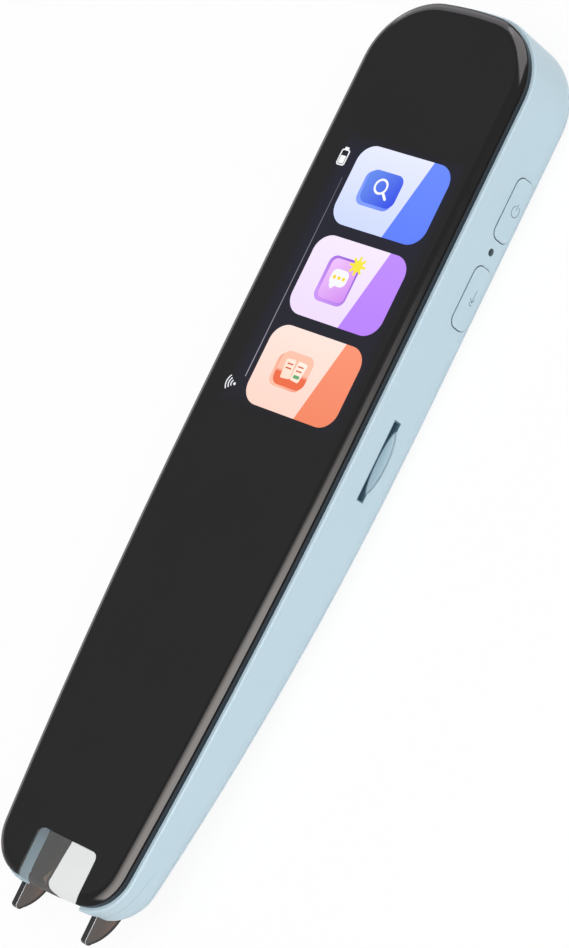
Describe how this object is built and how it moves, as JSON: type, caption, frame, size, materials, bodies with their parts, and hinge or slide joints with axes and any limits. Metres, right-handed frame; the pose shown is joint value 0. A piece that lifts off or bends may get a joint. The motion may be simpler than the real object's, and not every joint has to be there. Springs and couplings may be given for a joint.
{
  "type": "scanning pen",
  "caption": "Handheld scanning pen with a full-length cover glass and display, a clear sight window and sprung feet at the nose, side buttons and a card slot.",
  "frame": {"origin": "centre of the bounding box on the surface that the back rests on", "axes": "+X towards the side with the buttons, +Y along the pen towards the tail, +Z out of the cover glass"},
  "size_m": [0.0302, 0.1402, 0.0148],
  "materials": {
    "black_glass": "polished cover glass, printed black behind",
    "clear_window": "clear polished",
    "dark_frame": "glossy blue-black",
    "blue_shell": "fine satin",
    "smoke_plastic": "smoky see-through, polished",
    "display": "lit panel under the glass",
    "flex_amber": "flexible circuit film",
    "black_plastic": "moulded, fine matte",
    "board_green": "solder mask",
    "chip_black": "moulded chip bodies",
    "steel": "plated steel",
    "cell_foil": "foil pouch",
    "tape_white": "double-sided tape",
    "lens_glass": "coated lens",
    "light_white": "frosted lamp bodies",
    "rubber_black": "soft moulded"
  },
  "bodies": {
    "housing": {"front_glass": "black_glass", "sight_window": "clear_window", "glass_frame": "dark_frame", "side_shell": "blue_shell", "rear_cover": "blue_shell", "foot_spring": "steel", "trigger_switch": "chip_black", "display_panel": "display", "display_flex": "flex_amber", "chassis": "black_plastic", "main_board": "board_green", "board_parts": "chip_black", "board_screws": "steel", "shield_can": "steel", "battery": "cell_foil", "battery_tape": "tape_white", "camera_module": "black_plastic", "camera_lens": "lens_glass", "camera_flex": "flex_amber", "light_board": "board_green", "scan_lights": "light_white", "power_switch": "steel", "return_switch": "steel", "side_board": "board_green", "microphone": "steel", "mic_boot": "rubber_black", "card_socket": "steel", "usb_port": "steel", "speaker": "black_plastic", "speaker_gasket": "rubber_black"},
    "power_button": {"power_button": "blue_shell"},
    "return_button": {"return_button": "blue_shell"},
    "scan_foot": {"scan_foot": "smoke_plastic"}
  },
  "joints": [
    {"name": "power_press", "type": "slide", "parent": "housing", "child": "power_button", "axis": [-1, 0, 0], "range_m": [0, 0.0003], "stiffness_N_per_m": 1000, "springref_m": -0.0005},
    {"name": "return_press", "type": "slide", "parent": "housing", "child": "return_button", "axis": [-1, 0, 0], "range_m": [0, 0.0003], "stiffness_N_per_m": 1000, "springref_m": -0.0005},
    {"name": "foot_slide", "type": "slide", "parent": "housing", "child": "scan_foot", "axis": [0, 1, 0], "range_m": [0, 0.001], "stiffness_N_per_m": 300, "springref_m": -0.001, "deforming": ["foot_spring"]}
  ]
}
